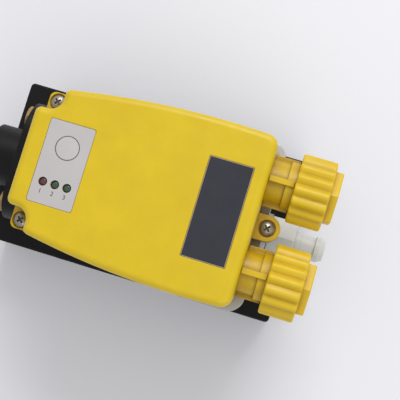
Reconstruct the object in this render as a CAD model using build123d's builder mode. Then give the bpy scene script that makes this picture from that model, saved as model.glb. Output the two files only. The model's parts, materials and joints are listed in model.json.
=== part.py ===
from build123d import *
from math import cos, pi, sin
import os

# Automatic condensate drain valve, level controlled, with a pilot-operated diaphragm.
# Row frame in millimetres: +Z up, +X towards the cable glands and the hose nozzle.
# The origin lies on the resting face, in the middle of the overall length and width.

os.makedirs("parts", exist_ok=True)

# ---------------------------------------------------------------- driving dimensions
# Heights, from the resting face upwards
reservoir_height = 38.0
reservoir_seal_thickness = 1.0
housing_height = 40.0
tray_seal_thickness = 1.0
tray_height = 17.0
cover_gasket_thickness = 0.8
cover_height = 14.2

# Lengths along X
connector_reach = 28.0        # inlet connector beyond the hood's left edge
cover_length = 100.0
nozzle_reach = 32.0           # hose nozzle beyond the hood's right edge

# Hood plan
tab_width = 42.2              # tab between the two corner notches
notch_depth = 10.1
notch_radius = 5.4            # concave inner corner of a notch
hood_corner_radius = 2.6      # tab and shoulder corners
shoulder_width = 61.4
belly_width = 73.4
belly_share = 0.70            # where along the hood the long sides are widest
end_width = 72.0
end_corner_radius = 4.8
ear_corner_radius = 3.0
hood_edge_radius = 3.0        # rounding of the hood's top edge
cover_wall = 2.6
cover_roof = 2.6
cover_overhang = 0.4          # hood plan beyond the tray's plan
gasket_width = 1.8
tray_seal_width = 2.2
seal_inset = 0.4              # tray seal inside the tray's edge

# Keypad, lamps and button
panel_length = 19.6
panel_width = 35.4
panel_left = 8.1              # from the hood's left edge
panel_recess = 0.9
panel_thickness = 0.8
panel_gap = 0.12
panel_radius = 0.9
button_x = 18.3               # from the hood's left edge
button_y = 7.2
button_radius = 4.8
button_proud = 0.3            # above the panel
button_travel = 0.8
button_play = 0.3
button_gap = 0.12
button_flange_radius = 6.0
button_flange_thickness = 1.2
button_stem_radius = 1.5
button_coil_radius = 2.3
button_turns = 6
led_radius = 1.7
led_window_radius = 1.85
led_pitch = 5.2
led_first_x = 12.6            # from the hood's left edge
led_y = -8.5
led_sunk = 0.5                # dome below the panel face
led_foot_size = 3.6
led_foot_height = 1.6

# Name plate
plate_length = 18.8
plate_width = 42.2
plate_left = 75.0             # from the hood's left edge
plate_recess = 0.5
plate_thickness = 0.6
plate_gap = 0.1
plate_radius = 0.3

# Tray
tray_wall = 2.8
tray_floor = 2.4
ear_radius = 5.5
ear_thickness = 5.0           # of the middle ear's plate
ear_reach = 5.0               # middle ear's screw beyond the hood's right edge
ear_screw_x = 4.6             # corner screws, from the hood's left edge
ear_screw_y = 26.2
tray_screw_radius = 2.0
tray_screw_head_radius = 3.1
tray_screw_head_height = 2.2
tray_screw_grip = 9.0         # thread in the housing
screw_seat_depth = 0.8
screw_seat_clearance = 0.6
screw_clearance = 0.2
screw_end_gap = 0.5           # screw tip above the bottom of its hole
thread_clearance = 0.05

# Cable glands
gland_spacing = 39.0
neck_radius = 9.0
neck_bore_radius = 7.0
neck_clearance = 0.3
rib_radius = 11.0
rib_thickness = 2.3
rib_count = 4
neck_length = 7.5             # ribbed stretch beyond the hood
collar_length = 3.3
collar_radius = 10.2
spigot_radius = 10.2
spigot_length = 11.0
nut_gap = 0.3
nut_length = 14.6
nut_radius = 14.75            # over the grip ridges
nut_core_radius = 13.4        # in the valleys between the ridges
nut_ridge_count = 20
nut_edge_radius = 0.9
nut_thread_gap = 0.15
nut_front = 3.4               # wall round the cable hole
nut_hex_length = 3.3
nut_hex_flats = 21.0
nut_hole_radius = 5.5
seal_length = 7.6
seal_bore_radius = 4.3
seal_gap = 0.1
ring_gap = 0.02               # O-ring clear of its groove
plug_head_radius = 5.2
plug_stem_radius = 4.2
plug_sunk = 0.4               # plug face behind the nut's face

# Electronics
board_thickness = 1.6
board_clearance = 5.6         # under the board
board_width = 51.0
board_left = 14.0             # from the hood's left edge
board_tongue_left = 5.2
board_tongue_width = 32.0
board_right = 92.5
board_hole_gap = 1.0
standoff_radius = 3.0
board_screw_radius = 1.2
board_screw_head_radius = 2.3
board_screw_head_height = 1.4
board_screw_xs = (20.0, 52.0) # from the hood's left edge
board_screw_y = 22.0
transformer_length = 20.0
transformer_width = 26.0
transformer_height = 15.0
transformer_x = 41.5
terminal_length = 8.5
terminal_width = 19.0
terminal_height = 9.5
terminal_x = 87.6
terminal_y = 13.5
terminal_ways = 3
switch_size = 6.2
switch_height = 3.4

# Solenoid pilot valve
valve_x = 72.0                # valve axis, from the hood's left edge
core_radius = 5.4
core_flange_radius = 9.0
core_flange_height = 3.6
core_bore_radius = 4.5
core_bore_depth = 20.0
core_stud_radius = 3.9
core_stud_length = 4.0
plunger_gap = 0.05
plunger_length = 16.4
plunger_seat_gap = 0.1
spring_pocket = 3.0
spring_wall = 1.0             # plunger's wall round its spring
spring_play = 0.5             # wire's middle inside that wall
spring_wire = 0.3             # wire radius of the small springs
plunger_turns = 5
coil_radius = 11.5
coil_height = 17.6
coil_gap = 0.2
yoke_thickness = 1.6
yoke_width = 18.0
yoke_nose = 3.0               # plate beyond the core tube on the open side
coil_nut_flats = 13.0
coil_nut_height = 3.4

# Diaphragm valve in the housing
chamber_radius = 18.0
chamber_depth = 12.0
inlet_ring_radius = 14.5
inlet_ring_depth = 3.0
diaphragm_thickness = 2.0
stack_gap = 0.1
disc_radius = 8.0
disc_thickness = 1.5
disc_coil_radius = 5.5
disc_wire = 0.35              # wire radius of the diaphragm's spring
disc_turns = 2.5
cap_cavity_radius = 13.5
cap_cavity_depth = 5.5
pilot_radius = 0.8
seat_radius = 7.0
seat_bore_radius = 4.5
seat_floor = 2.4              # metal between the seat insert and the outlet bore
outlet_radius = 5.0
riser_radius = 2.2
riser_offset = 12.1

# Level sensor
sensor_x = 36.0               # from the hood's left edge
sensor_head_radius = 9.0
sensor_head_height = 3.0
sensor_neck_radius = 7.3
sensor_neck_length = 13.0
sensor_radius = 6.0
sensor_tip_z = 12.0
sensor_gap = 0.1
sensor_bore_gap = 0.3
sensor_tip_chamfer = 1.5
ring_section = 1.1

# Cast housing
end_flange_reach = 3.9        # top flange beyond the hood's right edge
end_flange_length = 34.0
end_flange_width = 76.4
end_flange_radius = 7.0
top_flange_thickness = 8.0
waist_left = 5.0              # from the hood's left edge
waist_right = 99.5
waist_width = 41.0
waist_radius = 10.0
bottom_flange_thickness = 7.0
bottom_flange_margin = 2.0    # beyond the waist at each end
lug_radius = 6.0
lug_bolt_clearance = 1.1      # bolt head beside the waist
lug_edge = 4.5                # bottom flange beyond the bolt axes
lug_xs = (13.0, 91.5)         # from the hood's left edge
lug_height = 13.0
lug_bolt_radius = 2.5
lug_bolt_head_radius = 4.4
lug_bolt_head_height = 5.0
lug_bolt_grip = 12.0
lug_bolt_socket_flats = 5.0
bolt_end_gap = 1.0            # bolt tip above the bottom of its hole
pocket_length = 19.0
pocket_height = 15.0
pocket_depth = 3.5
pocket_radius = 3.0
pocket_pitch = 25.0
pocket_count = 3
boss_radius = 4.8             # under the middle ear
boss_height = 10.0
outlet_rise = 10.5            # outlet axis above the housing's base
outlet_boss_radius = 10.0
outlet_boss_reach = 5.5       # beyond the hood's right edge
outlet_spigot_radius = 7.4
outlet_spigot_length = 6.0

# Inlet and its bolted connector
inlet_rise = 19.0             # inlet axis above the housing's base
inlet_bore_radius = 8.0
inlet_depth = 26.0
inlet_fall_x = 15.0           # from the hood's left edge
inlet_fall_radius = 7.5
pad_width = 56.0
pad_height = 31.0
pad_reach = 6.0               # pad face beyond the hood's left edge
pad_root = 8.0                # pad body inside the hood's left edge
connector_flange_thickness = 8.0
thread_bore_radius = 9.3      # G 1/2 minor radius
thread_depth = 15.0
connector_bolt_radius = 3.0
connector_bolt_edge = 7.5     # bolt axis inside the pad's end
connector_bolt_room = 6.5     # bolt axis clear of the socket
connector_bolt_head_flats = 10.0
connector_bolt_head_height = 4.0
connector_bolt_grip = 10.0
connector_seal_outer = 12.4
connector_seal_inner = 9.8
connector_seal_thickness = 1.6

# Hose nozzle
nozzle_radius = 5.0
nozzle_barb_radius = 5.9
nozzle_land_length = 2.0      # cylindrical land of the hose barb
nozzle_cone_length = 2.5
nozzle_bore_radius = 3.5
nozzle_flange_radius = 7.2
nozzle_flange_thickness = 2.2
nozzle_root_radius = 5.9
nozzle_root_length = 5.4
nozzle_nut_flats = 18.0
nozzle_nut_gap = 0.15
nozzle_ring_radius = 6.0
nozzle_ring_section = 0.8
nozzle_nut_lip = 2.2          # nut's end wall round the nozzle

# Reservoir
reservoir_left = 28.0         # beyond the hood's left edge
reservoir_right = 17.0        # beyond the hood's right edge
reservoir_radius = 2.0
reservoir_wall = 4.0
reservoir_inner_radius = 3.0
reservoir_edge_radius = 0.8
reservoir_base_chamfer = 1.0
mouth_margin = 4.0            # housing's waist beyond the mouth
mouth_width = 33.0
mouth_radius = 8.0
column_radius = 6.5
column_gap = 3.0              # between the columns and the side walls
foot_hole_radius = 2.1        # tapped M5 in the underside of the columns
foot_hole_depth = 10.0
drain_plug_z = 19.0
drain_boss_radius = 14.0
drain_boss_length = 12.0
drain_plug_socket = 10.0
drain_plug_sunk = 0.6
drain_plug_thread = 10.0
reservoir_seal_width = 3.0

# ---------------------------------------------------------------- derived places
overall_length = connector_reach + cover_length + nozzle_reach
left_x = connector_reach - overall_length / 2
right_x = left_x + cover_length
shoulder_x = left_x + notch_depth
belly_x = left_x + cover_length * belly_share

deck_z = reservoir_height
housing_z = deck_z + reservoir_seal_thickness
housing_top_z = housing_z + housing_height
tray_z = housing_top_z + tray_seal_thickness
tray_floor_z = tray_z + tray_floor
parting_z = tray_z + tray_height
cover_z = parting_z + cover_gasket_thickness
top_z = cover_z + cover_height
gland_z = parting_z
board_z = tray_floor_z + board_clearance
board_top_z = board_z + board_thickness
outlet_z = housing_z + outlet_rise
lug_y = waist_width / 2 + lug_bolt_head_radius + lug_bolt_clearance
bottom_flange_width = 2 * (lug_y + lug_edge)
reservoir_width = 2 * (lug_y + column_radius + column_gap + reservoir_wall)
connector_bolt_spacing = pad_width - 2 * connector_bolt_edge
socket_radius = connector_bolt_spacing / 2 - connector_bolt_room
inlet_z = housing_z + inlet_rise
collar_x = right_x + neck_length
spigot_x = collar_x + collar_length
nut_x = spigot_x + nut_gap
valve_axis_x = left_x + valve_x
middle_ear_x = right_x + ear_reach
pad_x = left_x - pad_reach
outlet_face_x = right_x + outlet_boss_reach
panel_top_z = top_z - panel_recess + panel_thickness
yoke_z = housing_top_z + core_flange_height
coil_z = yoke_z + yoke_thickness
coil_nut_z = coil_z + coil_height + yoke_thickness
core_top_z = coil_nut_z - stack_gap
yoke_back = coil_radius + coil_gap
yoke_length = yoke_back + yoke_thickness + core_radius + yoke_nose
sides = (1, -1)
tray_screw_points = [(left_x + ear_screw_x, side * ear_screw_y) for side in sides] + [(middle_ear_x, 0)]
lug_points = [(left_x + x, side * lug_y) for x in lug_xs for side in sides]
board_screw_points = [(left_x + x, side * board_screw_y) for x in board_screw_xs for side in sides]
led_points = [(left_x + led_first_x + i * led_pitch, led_y) for i in range(3)]
button_point = (left_x + button_x, button_y)


# ---------------------------------------------------------------- shared forms
def corners_near(plan, x, half_width):
    """The two mirrored corners of a plan at a place along X and a distance from the middle line."""
    return plan.vertices().filter_by(
        lambda v: abs(v.X - x) < 0.01 and abs(abs(v.Y) - half_width) < 0.01
    )


def hood_plan(notched):
    """Plan of the hood: bowed long sides, a square right end, corner notches if asked for."""
    tab = tab_width / 2
    shoulder = shoulder_width / 2
    with BuildSketch() as plan:
        with BuildLine():
            Line((right_x, -end_width / 2), (right_x, end_width / 2))
            for side in sides:
                ThreePointArc(
                    (shoulder_x, side * shoulder),
                    (belly_x, side * belly_width / 2),
                    (right_x, side * end_width / 2),
                )
            if notched:
                Line((left_x, -tab), (left_x, tab))
                for side in sides:
                    Polyline((left_x, side * tab), (shoulder_x, side * tab), (shoulder_x, side * shoulder))
            else:
                Line((left_x, -shoulder), (left_x, shoulder))
                for side in sides:
                    Line((left_x, side * shoulder), (shoulder_x, side * shoulder))
        make_face()
        fillet(plan.vertices().group_by(Axis.X)[-1], radius=end_corner_radius)
        if notched:
            fillet(corners_near(plan, shoulder_x, tab), radius=notch_radius)
            fillet(corners_near(plan, shoulder_x, shoulder), radius=hood_corner_radius)
            fillet(corners_near(plan, left_x, tab), radius=hood_corner_radius)
        else:
            fillet(corners_near(plan, left_x, shoulder), radius=ear_corner_radius)
    return plan.sketch


def ring_plan(outline, outer, inner):
    """Band between two parallel curves of an outline: positive grows it, negative shrinks it."""
    with BuildSketch() as band:
        add(outline)
        offset(amount=outer)
        with BuildSketch(mode=Mode.PRIVATE) as hollow:
            add(outline)
            offset(amount=inner)
        add(hollow.sketch, mode=Mode.SUBTRACT)
    return band.sketch


def upright_plane(x, y):
    """Plane across Y through a vertical axis, its local X along the row's X and its local Y up."""
    return Plane(origin=(x, y, 0), x_dir=(1, 0, 0), z_dir=(0, -1, 0))


def upright_axis(x, y):
    """Vertical axis through a point of the plan."""
    return Axis((x, y, 0), (0, 0, 1))


def gland_circles(radius):
    """The two gland sections, for a sketch on a plane across X."""
    with Locations(*[(side * gland_spacing / 2, gland_z) for side in sides]):
        Circle(radius)


def grip_plan():
    """Section of a gland nut: rounded ridges and valleys that run into each other."""
    middle = (nut_radius + nut_core_radius) / 2

    def at(step, radius):
        angle = pi * step / (2 * nut_ridge_count)
        return (radius * cos(angle), radius * sin(angle))

    with BuildSketch() as grip:
        with BuildLine():
            for ridge in range(0, 4 * nut_ridge_count, 4):
                ThreePointArc(at(ridge - 1, middle), at(ridge, nut_radius), at(ridge + 1, middle))
                ThreePointArc(at(ridge + 1, middle), at(ridge + 2, nut_core_radius), at(ridge + 3, middle))
        make_face()
    return grip.sketch


def pan_screw(head_radius, head_height, shank_radius, length):
    """Pan-head screw with a cross recess, its head's underside on Z = 0."""
    with BuildPart() as screw:
        with BuildSketch(Plane.XZ):
            with BuildLine():
                Polyline((0, head_height), (0, -length), (shank_radius, -length), (shank_radius, 0))
                Polyline((shank_radius, 0), (head_radius, 0), (head_radius, head_height * 0.35))
                TangentArc((0, head_height), (head_radius, head_height * 0.35), tangent=(1, 0))
            make_face()
        revolve(axis=Axis.Z)
        with BuildSketch(Plane.XY.offset(head_height)):
            for angle in (45, 135):
                with Locations(Location((0, 0), angle)):
                    Rectangle(head_radius * 1.05, head_radius * 0.26)
        extrude(amount=-head_height * 0.6, mode=Mode.SUBTRACT)
    return screw.part


def hex_bolt(flats, head_height, shank_radius, length):
    """Hexagon-head bolt with its head's underside on Z = 0 and a chamfered head."""
    with BuildPart() as bolt:
        with BuildSketch():
            RegularPolygon(flats / 2, 6, major_radius=False)
        extrude(amount=head_height)
        with BuildSketch(Plane.XZ):
            with BuildLine():
                tip = flats / 2 - 0.2
                rim = flats * 0.6
                Polyline((0, 0), (rim, 0), (rim, head_height - 1), (tip, head_height), (0, head_height), close=True)
            make_face()
        revolve(axis=Axis.Z, mode=Mode.INTERSECT)
        with BuildSketch():
            Circle(shank_radius)
        extrude(amount=-length)
    return bolt.part


def coil_spring(x, y, bottom, top, coil, wire, turns):
    """Cylindrical compression spring between two heights."""
    run = top - bottom - 2 * wire
    with BuildPart() as spring:
        with BuildLine():
            path = Helix(pitch=run / turns, height=run, radius=coil, center=(x, y, bottom + wire))
        with BuildSketch(Plane(origin=path @ 0, z_dir=path % 0)):
            Circle(wire)
        sweep(is_frenet=True)
    return spring.part


def rubber_ring(center, z_dir, radius, section):
    """O-ring about an axis."""
    with BuildPart(Plane(origin=center, z_dir=z_dir)) as ring:
        Torus(radius, section)
    return ring.part


# ---------------------------------------------------------------- hood
with BuildPart() as cover:
    with BuildSketch(Plane.XY.offset(cover_z)):
        add(hood_plan(True))
    extrude(amount=cover_height)
    fillet(cover.faces().sort_by(Axis.Z)[-1].edges(), radius=hood_edge_radius)
    with BuildSketch(Plane.XY.offset(cover_z)):
        add(hood_plan(True))
        offset(amount=-cover_wall)
    extrude(amount=cover_height - cover_roof, mode=Mode.SUBTRACT)
    with BuildSketch(Plane.XY.offset(top_z)):
        with Locations((left_x + panel_left + panel_length / 2, 0)):
            RectangleRounded(panel_length, panel_width, panel_radius)
    extrude(amount=-panel_recess, mode=Mode.SUBTRACT)
    with BuildSketch(Plane.XY.offset(top_z)):
        with Locations((left_x + plate_left + plate_length / 2, 0)):
            RectangleRounded(plate_length, plate_width, plate_radius)
    extrude(amount=-plate_recess, mode=Mode.SUBTRACT)
    with BuildSketch(Plane.XY.offset(cover_z)):
        with Locations(*led_points):
            Circle(led_window_radius)
        with Locations(button_point):
            Circle(button_radius + button_gap)
    extrude(amount=cover_height, mode=Mode.SUBTRACT)
    with BuildSketch(Plane.YZ.offset(right_x - cover_wall)):
        gland_circles(neck_radius + neck_clearance)
    extrude(amount=2 * cover_wall, mode=Mode.SUBTRACT)
cover.part.label = "cover"
export_step(cover.part, "parts/cover.step")

with BuildPart() as cover_gasket:
    with BuildSketch(Plane.XY.offset(parting_z)):
        add(ring_plan(hood_plan(True), -cover_overhang, -cover_overhang - gasket_width))
    extrude(amount=cover_gasket_thickness)
    with BuildSketch(Plane.YZ.offset(right_x - 2 * cover_wall)):
        gland_circles(neck_radius + neck_clearance)
    extrude(amount=2 * cover_wall, mode=Mode.SUBTRACT)
cover_gasket.part.label = "cover_gasket"
export_step(cover_gasket.part, "parts/cover_gasket.step")

with BuildPart() as keypad_panel:
    with BuildSketch(Plane.XY.offset(top_z - panel_recess)):
        with Locations((left_x + panel_left + panel_length / 2, 0)):
            RectangleRounded(panel_length - 2 * panel_gap, panel_width - 2 * panel_gap, panel_radius)
        with Locations(*led_points):
            Circle(led_window_radius, mode=Mode.SUBTRACT)
        with Locations(button_point):
            Circle(button_radius + button_gap, mode=Mode.SUBTRACT)
    extrude(amount=panel_thickness)
keypad_panel.part.label = "keypad_panel"
export_step(keypad_panel.part, "parts/keypad_panel.step")

with BuildPart() as name_plate:
    with BuildSketch(Plane.XY.offset(top_z - plate_recess)):
        with Locations((left_x + plate_left + plate_length / 2, 0)):
            RectangleRounded(plate_length - 2 * plate_gap, plate_width - 2 * plate_gap, plate_radius)
    extrude(amount=plate_thickness)
name_plate.part.label = "name_plate"
export_step(name_plate.part, "parts/name_plate.step")

# Push button: domed cap, flange that keeps it under the roof, stem down to the switch
roof_z = top_z - cover_roof
switch_top_z = board_top_z + switch_height
button_flange_z = roof_z - button_play - button_flange_thickness
button_top_z = panel_top_z + button_proud
stem_z = switch_top_z + button_travel + button_play
with BuildPart() as test_button:
    with BuildSketch(upright_plane(*button_point)):
        with BuildLine():
            Polyline(
                (0, button_top_z),
                (0, stem_z),
                (button_stem_radius, stem_z),
                (button_stem_radius, button_flange_z),
                (button_flange_radius, button_flange_z),
                (button_flange_radius, button_flange_z + button_flange_thickness),
                (button_radius, button_flange_z + button_flange_thickness),
                (button_radius, panel_top_z),
            )
            TangentArc((0, button_top_z), (button_radius, panel_top_z), tangent=(1, 0))
        make_face()
    revolve(axis=upright_axis(*button_point))
test_button.part.label = "test_button"
export_step(test_button.part, "parts/test_button.step")

with BuildPart() as button_spring:
    add(coil_spring(*button_point, switch_top_z, button_flange_z, button_coil_radius, spring_wire, button_turns))
button_spring.part.label = "button_spring"
export_step(button_spring.part, "parts/button_spring.step")

with BuildPart() as button_switch:
    with BuildSketch(Plane.XY.offset(board_top_z)):
        with Locations(button_point):
            RectangleRounded(switch_size, switch_size, 0.5)
    extrude(amount=switch_height)
button_switch.part.label = "button_switch"
export_step(button_switch.part, "parts/button_switch.step")

# Lamps: light rods from the board to their windows, domed on top, on a square foot
led_top_z = panel_top_z - led_sunk
for index, (led_x, led_row_y) in enumerate(led_points):
    with BuildPart(Plane((led_x, led_row_y, 0))) as led_lamp:
        with BuildSketch(Plane((led_x, led_row_y, board_top_z))):
            Rectangle(led_foot_size, led_foot_size)
        extrude(amount=led_foot_height)
        with BuildSketch(Plane((led_x, led_row_y, board_top_z))):
            Circle(led_radius)
        extrude(amount=led_top_z - board_top_z)
        fillet(led_lamp.faces().sort_by(Axis.Z)[-1].edges(), radius=led_radius * 0.6)
    led_lamp.part.label = f"led_lamp_{index + 1}"
    export_step(led_lamp.part, f"parts/led_lamp_{index + 1}.step")

# ---------------------------------------------------------------- tray with gland necks
with BuildPart() as base_tray:
    with BuildSketch(Plane.XY.offset(tray_z)):
        add(hood_plan(False))
        offset(amount=-cover_overhang)
        with Locations((middle_ear_x, 0)):
            Circle(boss_radius)
            Rectangle(ear_reach + tray_wall, 2 * boss_radius, align=(Align.MAX, Align.CENTER))
    extrude(amount=tray_height)
    with BuildSketch(Plane.XY.offset(parting_z)):
        with Locations((middle_ear_x, 0)):
            Circle(ear_radius)
            Rectangle(ear_reach + tray_wall, 2 * ear_radius, align=(Align.MAX, Align.CENTER))
    extrude(amount=-ear_thickness)
    with BuildSketch(Plane.XY.offset(tray_floor_z)):
        add(hood_plan(True))
        offset(amount=-cover_overhang - tray_wall)
    extrude(amount=tray_height, mode=Mode.SUBTRACT)
    with BuildSketch(Plane.XY.offset(tray_floor_z)):
        with Locations(*board_screw_points):
            Circle(standoff_radius)
    extrude(amount=board_clearance)
    with BuildSketch(Plane.YZ.offset(right_x - cover_overhang - tray_wall)):
        gland_circles(neck_radius)
    extrude(amount=cover_overhang + tray_wall + neck_length)
    with BuildSketch(Plane.YZ.offset(right_x + neck_clearance)):
        for side in sides:
            with Locations((side * gland_spacing / 2, gland_z)):
                with PolarLocations(0, rib_count):
                    Rectangle(rib_radius, rib_thickness, align=(Align.MIN, Align.CENTER))
    extrude(amount=neck_length + collar_length - neck_clearance)
    with BuildSketch(Plane.YZ.offset(collar_x)):
        gland_circles(collar_radius)
    extrude(amount=collar_length)
    with BuildSketch(Plane.YZ.offset(spigot_x)):
        gland_circles(spigot_radius)
    extrude(amount=spigot_length)
    with BuildSketch(Plane.YZ.offset(right_x - cover_overhang - 2 * tray_wall)):
        gland_circles(neck_bore_radius)
    extrude(amount=spigot_x + spigot_length - right_x + 3 * tray_wall, mode=Mode.SUBTRACT)
    with BuildSketch(Plane.XY.offset(tray_z)):
        with Locations((valve_axis_x, 0)):
            Circle(core_flange_radius + neck_clearance)
        with Locations((left_x + sensor_x, 0)):
            Circle(sensor_head_radius + neck_clearance)
        with Locations(*tray_screw_points):
            Circle(tray_screw_radius + screw_clearance)
    extrude(amount=tray_height, mode=Mode.SUBTRACT)
    with BuildSketch(Plane.XY.offset(parting_z)):
        with Locations(*tray_screw_points):
            Circle(tray_screw_head_radius + screw_seat_clearance)
    extrude(amount=-screw_seat_depth, mode=Mode.SUBTRACT)
    with BuildSketch(Plane.XY.offset(board_z)):
        with Locations(*board_screw_points):
            Circle(board_screw_radius + thread_clearance)
    extrude(amount=-board_clearance, mode=Mode.SUBTRACT)
base_tray.part.label = "base_tray"
export_step(base_tray.part, "parts/base_tray.step")

tray_screw_length = tray_height - screw_seat_depth + tray_seal_thickness + tray_screw_grip
tray_screw = pan_screw(
    tray_screw_head_radius, tray_screw_head_height, tray_screw_radius, tray_screw_length - screw_end_gap
)
with BuildPart() as tray_screws:
    for screw_x, screw_y in tray_screw_points:
        add(tray_screw.moved(Location((screw_x, screw_y, parting_z - screw_seat_depth))))
tray_screws.part.label = "tray_screws"
export_step(tray_screws.part, "parts/tray_screws.step")

with BuildPart() as tray_seal:
    with BuildSketch(Plane.XY.offset(housing_top_z)):
        seal_edge = cover_overhang + seal_inset
        add(ring_plan(hood_plan(True), -seal_edge, -seal_edge - tray_seal_width))
    extrude(amount=tray_seal_thickness)
tray_seal.part.label = "tray_seal"
export_step(tray_seal.part, "parts/tray_seal.step")

# ---------------------------------------------------------------- cable glands
spigot_end_x = spigot_x + spigot_length
nut_end_x = nut_x + nut_length
nut_face_x = nut_end_x + nut_hex_length
for index, side in enumerate(sides):
    gland_y = side * gland_spacing / 2
    gland_axis = Axis((0, gland_y, gland_z), (1, 0, 0))

    with BuildPart() as gland_nut:
        with BuildSketch(Plane.YZ.offset(nut_x)):
            with Locations((gland_y, gland_z)):
                add(grip_plan())
        extrude(amount=nut_length)
        with BuildSketch(Plane((nut_x + nut_length / 2, gland_y, gland_z), x_dir=(1, 0, 0), z_dir=(0, -1, 0))):
            RectangleRounded(nut_length, 2 * nut_radius + 0.02, nut_edge_radius)
            with Locations((0, -nut_radius)):
                Rectangle(nut_length + 1, 2 * nut_radius, mode=Mode.SUBTRACT)
        revolve(axis=gland_axis, mode=Mode.INTERSECT)
        with BuildSketch(Plane.YZ.offset(nut_end_x)):
            with Locations((gland_y, gland_z)):
                RegularPolygon(nut_hex_flats / 2, 6, major_radius=False, rotation=30)
        extrude(amount=nut_hex_length)
        chamfer(gland_nut.faces().sort_by(Axis.X)[-1].edges(), length=0.4)
        with BuildSketch(Plane.YZ.offset(nut_x)):
            with Locations((gland_y, gland_z)):
                Circle(spigot_radius + nut_thread_gap)
        extrude(amount=nut_length - nut_front, mode=Mode.SUBTRACT)
        with BuildSketch(Plane.YZ.offset(nut_x)):
            with Locations((gland_y, gland_z)):
                Circle(nut_hole_radius)
        extrude(amount=nut_length + nut_hex_length, mode=Mode.SUBTRACT)
    gland_nut.part.label = f"gland_nut_{index + 1}"
    export_step(gland_nut.part, f"parts/gland_nut_{index + 1}.step")

    with BuildPart() as gland_seal:
        with BuildSketch(Plane.YZ.offset(spigot_end_x - seal_length)):
            with Locations((gland_y, gland_z)):
                Circle(neck_bore_radius - seal_gap)
                Circle(seal_bore_radius, mode=Mode.SUBTRACT)
        extrude(amount=seal_length)
    gland_seal.part.label = f"gland_seal_{index + 1}"
    export_step(gland_seal.part, f"parts/gland_seal_{index + 1}.step")

    with BuildPart() as blanking_plug:
        with BuildSketch(Plane.YZ.offset(nut_face_x - plug_sunk)):
            with Locations((gland_y, gland_z)):
                Circle(plug_head_radius)
        extrude(amount=spigot_end_x + nut_gap - nut_face_x + plug_sunk)
        with BuildSketch(Plane.YZ.offset(spigot_end_x + nut_gap)):
            with Locations((gland_y, gland_z)):
                Circle(plug_stem_radius)
        extrude(amount=-seal_length - 2)
        fillet(blanking_plug.faces().sort_by(Axis.X)[-1].edges(), radius=0.6)
    blanking_plug.part.label = f"blanking_plug_{index + 1}"
    export_step(blanking_plug.part, f"parts/blanking_plug_{index + 1}.step")

# ---------------------------------------------------------------- electronics
with BuildPart() as circuit_board:
    with BuildSketch(Plane.XY.offset(board_z)):
        with Locations((left_x + (board_left + board_right) / 2, 0)):
            RectangleRounded(board_right - board_left, board_width, 2)
        with Locations((left_x + (board_tongue_left + board_left + 4) / 2, 0)):
            RectangleRounded(board_left - board_tongue_left + 4, board_tongue_width, 1)
        with Locations((valve_axis_x, 0)):
            Circle(coil_radius + board_hole_gap, mode=Mode.SUBTRACT)
        with Locations((valve_axis_x - yoke_back - yoke_thickness - board_hole_gap, 0)):
            Rectangle(
                yoke_length + 2 * board_hole_gap,
                yoke_width + 2 * board_hole_gap,
                align=(Align.MIN, Align.CENTER),
                mode=Mode.SUBTRACT,
            )
        with Locations(*board_screw_points):
            Circle(board_screw_radius + screw_clearance, mode=Mode.SUBTRACT)
    extrude(amount=board_thickness)
circuit_board.part.label = "circuit_board"
export_step(circuit_board.part, "parts/circuit_board.step")

board_screw = pan_screw(board_screw_head_radius, board_screw_head_height, board_screw_radius, board_clearance)
with BuildPart() as board_screws:
    for screw_x, screw_y in board_screw_points:
        add(board_screw.moved(Location((screw_x, screw_y, board_top_z))))
board_screws.part.label = "board_screws"
export_step(board_screws.part, "parts/board_screws.step")

with BuildPart() as transformer:
    with BuildSketch(Plane.XY.offset(board_top_z)):
        with Locations((left_x + transformer_x, 0)):
            RectangleRounded(transformer_length, transformer_width, 1.5)
    extrude(amount=transformer_height)
    chamfer(transformer.faces().sort_by(Axis.Z)[-1].edges(), length=1)
transformer.part.label = "transformer"
export_step(transformer.part, "parts/transformer.step")

way_pitch = terminal_width / terminal_ways
with BuildPart() as terminal_blocks:
    for side in sides:
        with BuildSketch(Plane.XY.offset(board_top_z)):
            with Locations((left_x + terminal_x, side * terminal_y)):
                Rectangle(terminal_length, terminal_width)
        extrude(amount=terminal_height)
    for side in sides:
        with BuildSketch(Plane.YZ.offset(left_x + terminal_x + terminal_length / 2)):
            with Locations((side * terminal_y, board_top_z + terminal_height * 0.35)):
                with GridLocations(way_pitch, 0, terminal_ways, 1):
                    Rectangle(way_pitch * 0.6, terminal_height * 0.4)
        extrude(amount=-terminal_length * 0.6, mode=Mode.SUBTRACT)
        with BuildSketch(Plane.XY.offset(board_top_z + terminal_height)):
            with Locations((left_x + terminal_x, side * terminal_y)):
                with GridLocations(0, way_pitch, 1, terminal_ways):
                    Circle(way_pitch * 0.3)
        extrude(amount=-terminal_height * 0.3, mode=Mode.SUBTRACT)
terminal_blocks.part.label = "terminal_blocks"
export_step(terminal_blocks.part, "parts/terminal_blocks.step")

# ---------------------------------------------------------------- solenoid pilot valve
with BuildPart() as core_tube:
    with BuildSketch(Plane.XY.offset(housing_top_z)):
        with Locations((valve_axis_x, 0)):
            Circle(core_flange_radius)
    extrude(amount=core_flange_height)
    with BuildSketch(Plane.XY.offset(housing_top_z)):
        with Locations((valve_axis_x, 0)):
            Circle(core_radius)
    extrude(amount=core_top_z - housing_top_z)
    with BuildSketch(Plane.XY.offset(core_top_z)):
        with Locations((valve_axis_x, 0)):
            Circle(core_stud_radius)
    extrude(amount=core_stud_length)
    with BuildSketch(Plane.XY.offset(housing_top_z)):
        with Locations((valve_axis_x, 0)):
            Circle(core_bore_radius)
    extrude(amount=core_bore_depth, mode=Mode.SUBTRACT)
core_tube.part.label = "core_tube"
export_step(core_tube.part, "parts/core_tube.step")

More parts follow.
